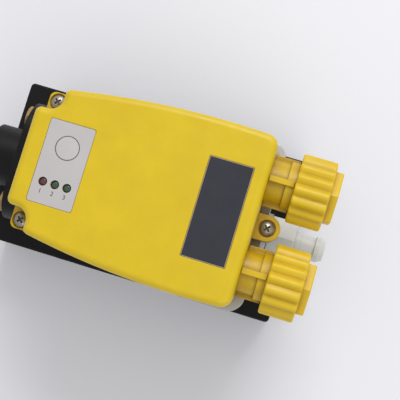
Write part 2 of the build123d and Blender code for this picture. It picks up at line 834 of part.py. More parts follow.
plunger_z = housing_top_z + plunger_seat_gap
plunger_radius = core_bore_radius - plunger_gap
with BuildPart() as plunger:
    with BuildSketch(Plane.XY.offset(plunger_z)):
        with Locations((valve_axis_x, 0)):
            Circle(plunger_radius)
    extrude(amount=plunger_length)
    chamfer(plunger.faces().sort_by(Axis.Z)[0].edges(), length=1.2)
    with BuildSketch(Plane.XY.offset(plunger_z + plunger_length)):
        with Locations((valve_axis_x, 0)):
            Circle(plunger_radius - spring_wall)
    extrude(amount=-spring_pocket, mode=Mode.SUBTRACT)
plunger.part.label = "plunger"
export_step(plunger.part, "parts/plunger.step")

spring_foot_z = plunger_z + plunger_length - spring_pocket
spring_head_z = housing_top_z + core_bore_depth
plunger_coil_radius = plunger_radius - spring_wall - spring_play
with BuildPart() as plunger_spring:
    add(coil_spring(valve_axis_x, 0, spring_foot_z, spring_head_z, plunger_coil_radius, spring_wire, plunger_turns))
plunger_spring.part.label = "plunger_spring"
export_step(plunger_spring.part, "parts/plunger_spring.step")

with BuildPart() as solenoid_coil:
    with BuildSketch(Plane.XY.offset(coil_z)):
        with Locations((valve_axis_x, 0)):
            Circle(coil_radius)
            Circle(core_radius + coil_gap, mode=Mode.SUBTRACT)
    extrude(amount=coil_height)
    fillet(solenoid_coil.edges().filter_by(GeomType.CIRCLE).sort_by(SortBy.RADIUS)[-2:], radius=1)
solenoid_coil.part.label = "solenoid_coil"
export_step(solenoid_coil.part, "parts/solenoid_coil.step")

with BuildPart() as solenoid_yoke:
    with BuildSketch(Plane.XY.offset(yoke_z)):
        with Locations((valve_axis_x - yoke_back - yoke_thickness, 0)):
            Rectangle(yoke_length, yoke_width, align=(Align.MIN, Align.CENTER))
    extrude(amount=coil_height + 2 * yoke_thickness)
    with BuildSketch(Plane.XY.offset(coil_z)):
        with Locations((valve_axis_x - yoke_back, 0)):
            Rectangle(2 * coil_radius + 5, yoke_width + 1, align=(Align.MIN, Align.CENTER))
    extrude(amount=coil_height, mode=Mode.SUBTRACT)
    with BuildSketch(Plane.XY.offset(yoke_z)):
        with Locations((valve_axis_x, 0)):
            Circle(core_radius + coil_gap)
    extrude(amount=coil_height + 2 * yoke_thickness, mode=Mode.SUBTRACT)
solenoid_yoke.part.label = "solenoid_yoke"
export_step(solenoid_yoke.part, "parts/solenoid_yoke.step")

with BuildPart() as coil_nut:
    with BuildSketch(Plane.XY.offset(coil_nut_z)):
        with Locations((valve_axis_x, 0)):
            RegularPolygon(coil_nut_flats / 2, 6, major_radius=False)
            Circle(core_stud_radius + thread_clearance, mode=Mode.SUBTRACT)
    extrude(amount=coil_nut_height)
coil_nut.part.label = "coil_nut"
export_step(coil_nut.part, "parts/coil_nut.step")

# ---------------------------------------------------------------- diaphragm valve
ledge_z = housing_top_z - chamber_depth
diaphragm_top_z = ledge_z + diaphragm_thickness
inlet_ring_z = ledge_z - inlet_ring_depth
cap_roof_z = diaphragm_top_z + cap_cavity_depth
disc_top_z = diaphragm_top_z + stack_gap + disc_thickness
seat_z = outlet_z + outlet_radius + seat_floor

with BuildPart() as diaphragm_cap:
    with BuildSketch(Plane.XY.offset(diaphragm_top_z)):
        with Locations((valve_axis_x, 0)):
            Circle(chamber_radius - stack_gap)
    extrude(amount=housing_top_z - diaphragm_top_z)
    with BuildSketch(Plane.XY.offset(diaphragm_top_z)):
        with Locations((valve_axis_x, 0)):
            Circle(cap_cavity_radius)
    extrude(amount=cap_cavity_depth, mode=Mode.SUBTRACT)
    with BuildSketch(Plane.XY.offset(diaphragm_top_z)):
        with Locations((valve_axis_x, 0)):
            Circle(pilot_radius)
    extrude(amount=housing_top_z - diaphragm_top_z, mode=Mode.SUBTRACT)
diaphragm_cap.part.label = "diaphragm_cap"
export_step(diaphragm_cap.part, "parts/diaphragm_cap.step")

with BuildPart() as diaphragm:
    with BuildSketch(Plane.XY.offset(ledge_z)):
        with Locations((valve_axis_x, 0)):
            Circle(chamber_radius - stack_gap)
    extrude(amount=diaphragm_thickness)
    with BuildSketch(Plane.XY.offset(diaphragm_top_z)):
        with Locations((valve_axis_x, 0)):
            Circle(cap_cavity_radius - 1)
            Circle(disc_radius + 0.5, mode=Mode.SUBTRACT)
    extrude(amount=-diaphragm_thickness / 2, mode=Mode.SUBTRACT)
diaphragm.part.label = "diaphragm"
export_step(diaphragm.part, "parts/diaphragm.step")

with BuildPart() as valve_disc:
    with BuildSketch(Plane.XY.offset(diaphragm_top_z + stack_gap)):
        with Locations((valve_axis_x, 0)):
            Circle(disc_radius)
    extrude(amount=disc_thickness)
    chamfer(valve_disc.edges(), length=0.3)
valve_disc.part.label = "valve_disc"
export_step(valve_disc.part, "parts/valve_disc.step")

with BuildPart() as diaphragm_spring:
    add(coil_spring(valve_axis_x, 0, disc_top_z, cap_roof_z, disc_coil_radius, disc_wire, disc_turns))
diaphragm_spring.part.label = "diaphragm_spring"
export_step(diaphragm_spring.part, "parts/diaphragm_spring.step")

with BuildPart() as valve_seat:
    with BuildSketch(Plane.XY.offset(seat_z)):
        with Locations((valve_axis_x, 0)):
            Circle(seat_radius - thread_clearance)
            Circle(seat_bore_radius, mode=Mode.SUBTRACT)
    extrude(amount=ledge_z - stack_gap - seat_z)
    chamfer(valve_seat.faces().sort_by(Axis.Z)[-1].edges(), length=0.8)
valve_seat.part.label = "valve_seat"
export_step(valve_seat.part, "parts/valve_seat.step")

# ---------------------------------------------------------------- level sensor
sensor_axis_x = left_x + sensor_x
ring_groove_z = housing_top_z - sensor_neck_length * 0.6
ring_groove_radius = sensor_neck_radius - 2 * ring_section
with BuildPart() as sensor_tube:
    with BuildSketch(upright_plane(sensor_axis_x, 0)):
        with BuildLine():
            Polyline(
                (0, housing_top_z + sensor_head_height),
                (0, sensor_tip_z),
                (sensor_radius - sensor_tip_chamfer, sensor_tip_z),
                (sensor_radius, sensor_tip_z + sensor_tip_chamfer),
                (sensor_radius, housing_top_z - sensor_neck_length),
                (sensor_neck_radius, housing_top_z - sensor_neck_length),
                (sensor_neck_radius, ring_groove_z - ring_section - sensor_gap),
                (ring_groove_radius, ring_groove_z - ring_section - sensor_gap),
                (ring_groove_radius, ring_groove_z + ring_section + sensor_gap),
                (sensor_neck_radius, ring_groove_z + ring_section + sensor_gap),
                (sensor_neck_radius, housing_top_z),
                (sensor_head_radius, housing_top_z),
                (sensor_head_radius, housing_top_z + sensor_head_height),
                close=True,
            )
        make_face()
    revolve(axis=upright_axis(sensor_axis_x, 0))
sensor_tube.part.label = "sensor_tube"
export_step(sensor_tube.part, "parts/sensor_tube.step")

sensor_ring_radius = ring_groove_radius + ring_section + ring_gap
with BuildPart() as sensor_ring:
    add(rubber_ring((sensor_axis_x, 0, ring_groove_z), (0, 0, 1), sensor_ring_radius, ring_section))
sensor_ring.part.label = "sensor_ring"
export_step(sensor_ring.part, "parts/sensor_ring.step")

# ---------------------------------------------------------------- cast housing
waist_center_x = left_x + (waist_left + waist_right) / 2
waist_length = waist_right - waist_left
with BuildPart() as lower_housing:
    with BuildSketch(Plane.XY.offset(housing_top_z)):
        add(hood_plan(False))
        with Locations((right_x + end_flange_reach, 0)):
            RectangleRounded(
                end_flange_length, end_flange_width, end_flange_radius, align=(Align.MAX, Align.CENTER)
            )
    extrude(amount=-top_flange_thickness)
    with BuildSketch(Plane.XY.offset(housing_z)):
        with Locations((waist_center_x, 0)):
            RectangleRounded(waist_length, waist_width, waist_radius)
    extrude(amount=housing_height)
    with BuildSketch(Plane.XY.offset(housing_z)):
        with Locations((waist_center_x, 0)):
            RectangleRounded(waist_length + 2 * bottom_flange_margin, bottom_flange_width, waist_radius)
    extrude(amount=bottom_flange_thickness)
    with BuildSketch(Plane.XY.offset(housing_z)):
        with Locations(*lug_points):
            Circle(lug_radius)
    extrude(amount=lug_height)
    with BuildSketch(Plane.XY.offset(housing_top_z)):
        with Locations((middle_ear_x, 0)):
            Circle(boss_radius)
            Rectangle(ear_reach + top_flange_thickness, 2 * boss_radius, align=(Align.MAX, Align.CENTER))
        with Locations(*tray_screw_points[0:2]):
            Circle(ear_radius)
    extrude(amount=-boss_height)
    with BuildSketch(Plane.YZ.offset(pad_x)):
        with Locations((0, inlet_z)):
            SlotOverall(pad_width, pad_height)
    extrude(amount=pad_reach + pad_root)
    with BuildSketch(Plane.YZ.offset(left_x + waist_right)):
        with Locations((0, outlet_z)):
            Circle(outlet_boss_radius)
    extrude(amount=outlet_face_x - left_x - waist_right)
    with BuildSketch(Plane.YZ.offset(outlet_face_x)):
        with Locations((0, outlet_z)):
            Circle(outlet_spigot_radius)
    extrude(amount=outlet_spigot_length)
    pocket_z = (housing_z + bottom_flange_thickness + housing_top_z - top_flange_thickness) / 2
    for side in sides:
        with BuildSketch(Plane.XZ.offset(-side * waist_width / 2)):
            with Locations((waist_center_x, pocket_z)):
                with GridLocations(pocket_pitch, 0, pocket_count, 1):
                    RectangleRounded(pocket_length, pocket_height, pocket_radius)
        extrude(amount=side * pocket_depth, mode=Mode.SUBTRACT)
    # diaphragm chamber, seat bore and riser
    with BuildSketch(Plane.XY.offset(housing_top_z)):
        with Locations((valve_axis_x, 0)):
            Circle(chamber_radius)
    extrude(amount=-chamber_depth, mode=Mode.SUBTRACT)
    with BuildSketch(Plane.XY.offset(ledge_z)):
        with Locations((valve_axis_x, 0)):
            Circle(inlet_ring_radius)
    extrude(amount=-inlet_ring_depth, mode=Mode.SUBTRACT)
    with BuildSketch(Plane.XY.offset(seat_z)):
        with Locations((valve_axis_x, 0)):
            Circle(seat_radius)
    extrude(amount=inlet_ring_z - seat_z, mode=Mode.SUBTRACT)
    with BuildSketch(Plane.XY.offset(outlet_z)):
        with Locations((valve_axis_x, 0)):
            Circle(seat_bore_radius)
    extrude(amount=seat_z - outlet_z, mode=Mode.SUBTRACT)
    with BuildSketch(Plane.YZ.offset(valve_axis_x)):
        with Locations((0, outlet_z)):
            Circle(outlet_radius)
    extrude(amount=outlet_face_x + outlet_spigot_length - valve_axis_x, mode=Mode.SUBTRACT)
    with BuildSketch(Plane.XY.offset(housing_z)):
        with Locations((valve_axis_x - riser_offset, 0)):
            Circle(riser_radius)
    extrude(amount=inlet_ring_z - housing_z, mode=Mode.SUBTRACT)
    # sensor bore
    with BuildSketch(Plane.XY.offset(housing_z)):
        with Locations((sensor_axis_x, 0)):
            Circle(sensor_radius + sensor_bore_gap)
    extrude(amount=housing_height, mode=Mode.SUBTRACT)
    with BuildSketch(Plane.XY.offset(housing_top_z)):
        with Locations((sensor_axis_x, 0)):
            Circle(sensor_neck_radius + sensor_gap)
    extrude(amount=-sensor_neck_length, mode=Mode.SUBTRACT)
    # inlet bore and its fall to the reservoir
    with BuildSketch(Plane.YZ.offset(pad_x)):
        with Locations((0, inlet_z)):
            Circle(inlet_bore_radius)
    extrude(amount=inlet_depth, mode=Mode.SUBTRACT)
    with BuildSketch(Plane.XY.offset(housing_z)):
        with Locations((left_x + inlet_fall_x, 0)):
            Circle(inlet_fall_radius)
    extrude(amount=inlet_z - housing_z, mode=Mode.SUBTRACT)
    # threads and bolt holes
    with BuildSketch(Plane.XY.offset(housing_top_z)):
        with Locations(*tray_screw_points):
            Circle(tray_screw_radius + thread_clearance)
    extrude(amount=-tray_screw_grip, mode=Mode.SUBTRACT)
    with BuildSketch(Plane.YZ.offset(pad_x)):
        with Locations((0, inlet_z)):
            with GridLocations(connector_bolt_spacing, 0, 2, 1):
                Circle(connector_bolt_radius + thread_clearance)
    extrude(amount=connector_bolt_grip + bolt_end_gap, mode=Mode.SUBTRACT)
    with BuildSketch(Plane.XY.offset(housing_z)):
        with Locations(*lug_points):
            Circle(lug_bolt_radius + screw_clearance)
    extrude(amount=lug_height, mode=Mode.SUBTRACT)
lower_housing.part.label = "lower_housing"
export_step(lower_housing.part, "parts/lower_housing.step")

# ---------------------------------------------------------------- reservoir
reservoir_length = reservoir_left + cover_length + reservoir_right
reservoir_center_x = left_x - reservoir_left + reservoir_length / 2
mouth_length = waist_length - 2 * mouth_margin
with BuildPart() as reservoir:
    with BuildSketch():
        with Locations((reservoir_center_x, 0)):
            RectangleRounded(reservoir_length, reservoir_width, reservoir_radius)
    extrude(amount=reservoir_height)
    fillet(reservoir.faces().sort_by(Axis.Z)[-1].edges(), radius=reservoir_edge_radius)
    chamfer(reservoir.faces().sort_by(Axis.Z)[0].edges(), length=reservoir_base_chamfer)
    with BuildSketch(Plane.XY.offset(reservoir_wall)):
        with Locations((reservoir_center_x, 0)):
            RectangleRounded(
                reservoir_length - 2 * reservoir_wall,
                reservoir_width - 2 * reservoir_wall,
                reservoir_inner_radius,
            )
    extrude(amount=reservoir_height - 2 * reservoir_wall, mode=Mode.SUBTRACT)
    with BuildSketch(Plane.XY.offset(reservoir_wall)):
        with Locations(*lug_points):
            Circle(column_radius)
    extrude(amount=reservoir_height - 2 * reservoir_wall)
    with BuildSketch(Plane.YZ.offset(left_x - reservoir_left + reservoir_wall)):
        with Locations((0, drain_plug_z)):
            Circle(drain_boss_radius)
    extrude(amount=drain_boss_length - reservoir_wall)
    with BuildSketch(Plane.XY.offset(deck_z)):
        with Locations((waist_center_x, 0)):
            RectangleRounded(mouth_length, mouth_width, mouth_radius)
    extrude(amount=-reservoir_wall, mode=Mode.SUBTRACT)
    with BuildSketch(Plane.XY.offset(deck_z)):
        with Locations(*lug_points):
            Circle(lug_bolt_radius + thread_clearance)
    extrude(amount=-lug_bolt_grip - bolt_end_gap, mode=Mode.SUBTRACT)
    with BuildSketch():
        with Locations(*lug_points):
            Circle(foot_hole_radius)
    extrude(amount=foot_hole_depth, mode=Mode.SUBTRACT)
    with BuildSketch(Plane.YZ.offset(left_x - reservoir_left)):
        with Locations((0, drain_plug_z)):
            Circle(thread_bore_radius)
    extrude(amount=drain_boss_length, mode=Mode.SUBTRACT)
reservoir.part.label = "reservoir"
export_step(reservoir.part, "parts/reservoir.step")

with BuildPart() as reservoir_seal:
    with BuildSketch(Plane.XY.offset(deck_z)):
        with Locations((waist_center_x, 0)):
            RectangleRounded(
                mouth_length + 2 * reservoir_seal_width,
                mouth_width + 2 * reservoir_seal_width,
                mouth_radius + reservoir_seal_width,
            )
            RectangleRounded(mouth_length, mouth_width, mouth_radius, mode=Mode.SUBTRACT)
    extrude(amount=reservoir_seal_thickness)
reservoir_seal.part.label = "reservoir_seal"
export_step(reservoir_seal.part, "parts/reservoir_seal.step")

lug_bolt_length = lug_height + reservoir_seal_thickness + lug_bolt_grip
with BuildPart() as lug_bolt:
    with BuildSketch():
        Circle(lug_bolt_head_radius)
        RegularPolygon(lug_bolt_socket_flats / 2, 6, major_radius=False, mode=Mode.SUBTRACT)
    extrude(amount=lug_bolt_head_height)
    with BuildSketch():
        Circle(lug_bolt_head_radius)
    extrude(amount=lug_bolt_head_height * 0.4)
    with BuildSketch():
        Circle(lug_bolt_radius)
    extrude(amount=-lug_bolt_length)
with BuildPart() as housing_bolts:
    for lug_x, lug_row_y in lug_points:
        add(lug_bolt.part.moved(Location((lug_x, lug_row_y, housing_z + lug_height))))
housing_bolts.part.label = "housing_bolts"
export_step(housing_bolts.part, "parts/housing_bolts.step")

drain_face_x = left_x - reservoir_left
with BuildPart() as inlet_plug:
    with BuildSketch(Plane.YZ.offset(drain_face_x + drain_plug_sunk)):
        with Locations((0, drain_plug_z)):
            Circle(thread_bore_radius - thread_clearance)
    extrude(amount=drain_plug_thread)
    chamfer(inlet_plug.faces().sort_by(Axis.X)[0].edges(), length=0.8)
    with BuildSketch(Plane.YZ.offset(drain_face_x + drain_plug_sunk)):
        with Locations((0, drain_plug_z)):
            RegularPolygon(drain_plug_socket / 2, 6, major_radius=False)
    extrude(amount=drain_plug_thread * 0.6, mode=Mode.SUBTRACT)
inlet_plug.part.label = "inlet_plug"
export_step(inlet_plug.part, "parts/inlet_plug.step")

# ---------------------------------------------------------------- inlet connector
connector_face_x = left_x - connector_reach
flange_face_x = pad_x - connector_flange_thickness
with BuildPart() as inlet_connector:
    with BuildSketch(Plane.YZ.offset(pad_x)):
        with Locations((0, inlet_z)):
            SlotOverall(pad_width, pad_height)
            with GridLocations(connector_bolt_spacing, 0, 2, 1):
                Circle(connector_bolt_radius + screw_clearance, mode=Mode.SUBTRACT)
    extrude(amount=-connector_flange_thickness)
    with BuildSketch(Plane.YZ.offset(flange_face_x)):
        with Locations((0, inlet_z)):
            Circle(socket_radius)
    extrude(amount=connector_face_x - flange_face_x)
    chamfer(inlet_connector.faces().sort_by(Axis.X)[0].edges(), length=0.8)
    with BuildSketch(Plane.YZ.offset(connector_face_x)):
        with Locations((0, inlet_z)):
            Circle(thread_bore_radius)
    extrude(amount=thread_depth, mode=Mode.SUBTRACT)
    with BuildSketch(Plane.YZ.offset(pad_x)):
        with Locations((0, inlet_z)):
            Circle(inlet_bore_radius)
    extrude(amount=connector_face_x - pad_x, mode=Mode.SUBTRACT)
    with BuildSketch(Plane.YZ.offset(pad_x)):
        with Locations((0, inlet_z)):
            Circle(connector_seal_outer + seal_gap)
            Circle(connector_seal_inner - seal_gap, mode=Mode.SUBTRACT)
    extrude(amount=-connector_seal_thickness, mode=Mode.SUBTRACT)
inlet_connector.part.label = "inlet_connector"
export_step(inlet_connector.part, "parts/inlet_connector.step")

with BuildPart() as connector_seal:
    with BuildSketch(Plane.YZ.offset(pad_x)):
        with Locations((0, inlet_z)):
            Circle(connector_seal_outer)
            Circle(connector_seal_inner, mode=Mode.SUBTRACT)
    extrude(amount=-connector_seal_thickness)
connector_seal.part.label = "connector_seal"
export_step(connector_seal.part, "parts/connector_seal.step")

connector_bolt = hex_bolt(
    connector_bolt_head_flats,
    connector_bolt_head_height,
    connector_bolt_radius,
    connector_flange_thickness + connector_bolt_grip,
)
with BuildPart() as connector_bolts:
    for side in sides:
        bolt_place = (flange_face_x, side * connector_bolt_spacing / 2, inlet_z)
        add(connector_bolt.moved(Location(bolt_place, (0, -90, 0))))
connector_bolts.part.label = "connector_bolts"
export_step(connector_bolts.part, "parts/connector_bolts.step")

# ---------------------------------------------------------------- hose nozzle
spigot_face_x = outlet_face_x + outlet_spigot_length
nozzle_flange_x = spigot_face_x + 2 * (nozzle_ring_section + ring_gap)
nozzle_tip_x = right_x + nozzle_reach
with BuildPart() as hose_nozzle:
    with BuildSketch(Plane.XZ):
        with BuildLine():
            flange_x = nozzle_flange_x + nozzle_flange_thickness
            root_x = flange_x + nozzle_root_length
            land_x = nozzle_tip_x - nozzle_cone_length - nozzle_land_length
            Polyline(
                (nozzle_flange_x, outlet_z + nozzle_bore_radius),
                (nozzle_flange_x, outlet_z + nozzle_flange_radius),
                (flange_x, outlet_z + nozzle_flange_radius),
                (flange_x, outlet_z + nozzle_root_radius),
                (root_x, outlet_z + nozzle_root_radius),
                (root_x, outlet_z + nozzle_radius),
                (land_x, outlet_z + nozzle_radius),
                (land_x, outlet_z + nozzle_barb_radius),
                (land_x + nozzle_land_length, outlet_z + nozzle_barb_radius),
                (nozzle_tip_x, outlet_z + nozzle_radius - 0.4),
                (nozzle_tip_x, outlet_z + nozzle_bore_radius),
                close=True,
            )
        make_face()
    revolve(axis=Axis((0, 0, outlet_z), (1, 0, 0)))
hose_nozzle.part.label = "hose_nozzle"
export_step(hose_nozzle.part, "parts/hose_nozzle.step")

nozzle_nut_x = outlet_face_x + nut_gap
nozzle_nut_lip_x = nozzle_flange_x + nozzle_flange_thickness + nut_gap
with BuildPart() as nozzle_nut:
    with BuildSketch(Plane.YZ.offset(nozzle_nut_x)):
        with Locations((0, outlet_z)):
            RegularPolygon(nozzle_nut_flats / 2, 6, major_radius=False, rotation=30)
    extrude(amount=nozzle_nut_lip_x + nozzle_nut_lip - nozzle_nut_x)
    chamfer(nozzle_nut.faces().sort_by(Axis.X)[-1].edges(), length=0.5)
    with BuildSketch(Plane.YZ.offset(nozzle_nut_x)):
        with Locations((0, outlet_z)):
            Circle(outlet_spigot_radius + nozzle_nut_gap)
    extrude(amount=nozzle_nut_lip_x - nozzle_nut_x, mode=Mode.SUBTRACT)
    with BuildSketch(Plane.YZ.offset(nozzle_nut_x)):
        with Locations((0, outlet_z)):
            Circle(nozzle_root_radius + nozzle_nut_gap)
    extrude(amount=nozzle_reach, mode=Mode.SUBTRACT)
nozzle_nut.part.label = "nozzle_nut"
export_step(nozzle_nut.part, "parts/nozzle_nut.step")

nozzle_ring_x = spigot_face_x + nozzle_ring_section + ring_gap
with BuildPart() as nozzle_ring:
    add(rubber_ring((nozzle_ring_x, 0, outlet_z), (1, 0, 0), nozzle_ring_radius, nozzle_ring_section))
nozzle_ring.part.label = "nozzle_ring"
export_step(nozzle_ring.part, "parts/nozzle_ring.step")
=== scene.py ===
import json
import math

import bmesh
import bpy
from mathutils import Matrix, Vector


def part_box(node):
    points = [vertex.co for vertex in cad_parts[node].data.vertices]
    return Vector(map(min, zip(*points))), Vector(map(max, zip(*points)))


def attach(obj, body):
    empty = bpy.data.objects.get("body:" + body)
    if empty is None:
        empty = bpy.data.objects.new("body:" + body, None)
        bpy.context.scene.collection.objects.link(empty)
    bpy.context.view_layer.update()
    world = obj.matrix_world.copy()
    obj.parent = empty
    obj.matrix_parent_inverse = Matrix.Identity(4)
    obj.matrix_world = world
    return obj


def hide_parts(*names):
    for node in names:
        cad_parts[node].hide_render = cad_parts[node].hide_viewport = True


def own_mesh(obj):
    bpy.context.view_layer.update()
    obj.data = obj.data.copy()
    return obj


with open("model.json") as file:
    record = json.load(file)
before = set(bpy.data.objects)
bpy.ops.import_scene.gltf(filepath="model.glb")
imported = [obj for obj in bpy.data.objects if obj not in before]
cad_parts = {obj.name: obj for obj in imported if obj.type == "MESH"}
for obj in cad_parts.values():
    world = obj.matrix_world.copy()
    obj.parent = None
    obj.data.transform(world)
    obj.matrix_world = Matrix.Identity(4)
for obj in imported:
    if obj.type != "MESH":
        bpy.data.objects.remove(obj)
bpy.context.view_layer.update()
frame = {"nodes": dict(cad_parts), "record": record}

# Metres, in the part's frame: X runs from the inlet to the glands, Z is up, and the part stands on Z = 0.
MM = 0.001
ROOT = "body"


# ---------------------------------------------------------------- materials
BEVEL_SAMPLES = 6
OCCLUSION_SAMPLES = 8
FACE_COSINE = 0.995  # between a face's own normal and the one rounded over its edges
EDGE_COSINE = 0.86
SPECK_SIZE = 0.0022
# bands of a noise's values, over which a mask goes from none to full
BROAD = (0.3, 0.7)
FINE = (0.35, 0.65)
WORN = (0.42, 0.62)
SPECKLED = (0.72, 0.76)
FINE_SHARE = 0.25  # of the fine grain's darker tone
LEAST_GRIME_SHADE = 0.4  # share of the crease darkening, painted shade with some dirt, that a clean patch keeps
LEAST_ROUGH = 0.85  # share of the stated roughness
MOST_ROUGH = 1.2


def srgb(red, green, blue):
    """Linear colour of an sRGB one stated in 0 to 255."""
    def linear(value):
        value = value / 255
        return value / 12.92 if value <= 0.04045 else ((value + 0.055) / 1.055) ** 2.4
    return (linear(red), linear(green), linear(blue), 1.0)


def scaled(color, factor):
    """Colour made darker or lighter by a factor."""
    return (color[0] * factor, color[1] * factor, color[2] * factor, 1.0)


class Nodes:
    """New material, and short ways to add linked shader nodes to it."""

    def __init__(self, name):
        self.material = bpy.data.materials.new(name)
        self.material.use_nodes = True
        self.tree = self.material.node_tree
        self.tree.nodes.clear()
        self.coords = self.add("ShaderNodeTexCoord").outputs["Object"]

    def add(self, kind, inputs=None, **settings):
        """Node with its settings, and its inputs set to a value or linked to another node's output."""
        node = self.tree.nodes.new(kind)
        for key, value in settings.items():
            setattr(node, key, value)
        for key, value in (inputs or {}).items():
            if isinstance(value, bpy.types.NodeSocket):
                self.tree.links.new(value, node.inputs[key])
            else:
                node.inputs[key].default_value = value
        return node

    def noise(self, size, detail, rough=0.55, stretch=None):
        """Noise whose features are about that size in metres, from 0 to 1."""
        coords = self.coords
        if stretch:
            coords = self.add("ShaderNodeMapping", {"Vector": coords, "Scale": stretch}).outputs["Vector"]
        node = self.add("ShaderNodeTexNoise", {
            "Vector": coords, "Scale": 1 / size, "Detail": detail, "Roughness": rough,
        })
        return node.outputs["Fac"]

    def ramp(self, source, band, least=0.0, most=1.0):
        """Source over a band of its values, spread from least to most and held there outside the band."""
        node = self.add("ShaderNodeMapRange", {
            "Value": source, "From Min": band[0], "From Max": band[1], "To Min": least, "To Max": most,
        })
        return node.outputs["Result"]

    def mix(self, factor, first, second):
        """Colour between two others."""
        node = self.add("ShaderNodeMix", {"Factor": factor, "A": first, "B": second}, data_type="RGBA")
        return node.outputs["Result"]

    def product(self, first, *factors):
        """Product of a socket and of other sockets or numbers."""
        for factor in factors:
            node = self.add("ShaderNodeMath", {0: first, 1: factor}, operation="MULTIPLY")
            first = node.outputs["Value"]
        return first

    def edge_mask(self, radius):
        """1 on convex and concave edges and 0 on open faces, with the rounded normal for the bump."""
        rounded = self.add("ShaderNodeBevel", {"Radius": radius}, samples=BEVEL_SAMPLES).outputs["Normal"]
        flat = self.add("ShaderNodeNewGeometry").outputs["Normal"]
        cosine = self.add("ShaderNodeVectorMath", {0: rounded, 1: flat}, operation="DOT_PRODUCT")
        return self.ramp(cosine.outputs["Value"], (FACE_COSINE, EDGE_COSINE)), rounded

    def crevice(self, distance, open_at, full_at):
        """1 in creases and recesses, 0 in the open."""
        occlusion = self.add("ShaderNodeAmbientOcclusion", {"Distance": distance}, samples=OCCLUSION_SAMPLES)
        return self.ramp(occlusion.outputs["AO"], (open_at, full_at))


def surface(
    name, color, rough, metal=0.0, specular=0.5, coat=0.0, transmission=0.0,
    grain=0.0004, relief=0.00001, stretch=None, blotch=0.012, blotch_depth=0.08, specks=0.0,
    edge=0.0004, wear=None, wear_amount=0.4,
    grime_shade=None, grime_shade_amount=0.5, grime_shade_reach=0.004, grime_shade_from=0.85, grime_shade_full=0.25,
):
    """Procedural finish: colour drift, fine grain, worn edges, dirt and painted shade in creases, and stray
    specks.

    grain and relief are the width and height of the bumps, blotch the size of the colour patches, edge the
    rounding of edges and grime_shade_reach the width of a crease, all in metres. Creases and recesses are
    darkened, painted
    shade with some dirt: the darkening sets in where the open share of the surroundings falls below
    grime_shade_from, and it is full at grime_shade_full.
    """
    n = Nodes(name)
    drift = n.ramp(n.noise(blotch, detail=4), BROAD)
    tone = n.mix(drift, scaled(color, 1 - blotch_depth), scaled(color, 1 + blotch_depth * 0.5))
    fine = n.ramp(n.noise(grain * 4, detail=5, rough=0.7), FINE)
    tone = n.mix(n.product(fine, FINE_SHARE), tone, scaled(color, 1 - blotch_depth * 1.5))
    on_edge, rounded = n.edge_mask(edge)
    if wear:
        patch = n.ramp(n.noise(blotch * 0.4, detail=6, rough=0.7), WORN)
        tone = n.mix(n.product(on_edge, patch, wear_amount), tone, wear)
    # creases and recesses darkened towards the grime colour by ambient occlusion: painted shade, with some
    # dirt
    if grime_shade:
        spread = n.ramp(n.noise(blotch * 0.7, detail=5, rough=0.65), BROAD, least=LEAST_GRIME_SHADE)
        crease = n.crevice(grime_shade_reach, grime_shade_from, grime_shade_full)
        tone = n.mix(n.product(crease, spread, grime_shade_amount), tone, grime_shade)
    if specks:
        spots = n.ramp(n.noise(SPECK_SIZE, detail=2, rough=0.4), SPECKLED)
        tone = n.mix(n.product(spots, specks), tone, grime_shade or scaled(color, 0.5))
    sheen = n.ramp(
        n.noise(blotch * 0.6, detail=5, rough=0.65), BROAD, rough * LEAST_ROUGH, min(1.0, rough * MOST_ROUGH),
    )
    bump = n.add("ShaderNodeBump", {
        "Strength": 1.0, "Distance": relief, "Normal": rounded,
        "Height": n.noise(grain, detail=3, rough=0.6, stretch=stretch),
    })
    shader = n.add("ShaderNodeBsdfPrincipled", {
        "Base Color": tone, "Roughness": sheen, "Metallic": metal, "Specular IOR Level": specular,
        "Coat Weight": coat, "Transmission Weight": transmission, "Normal": bump.outputs["Normal"],
    })
    n.add("ShaderNodeOutputMaterial", {"Surface": shader.outputs["BSDF"]})
    return n.material
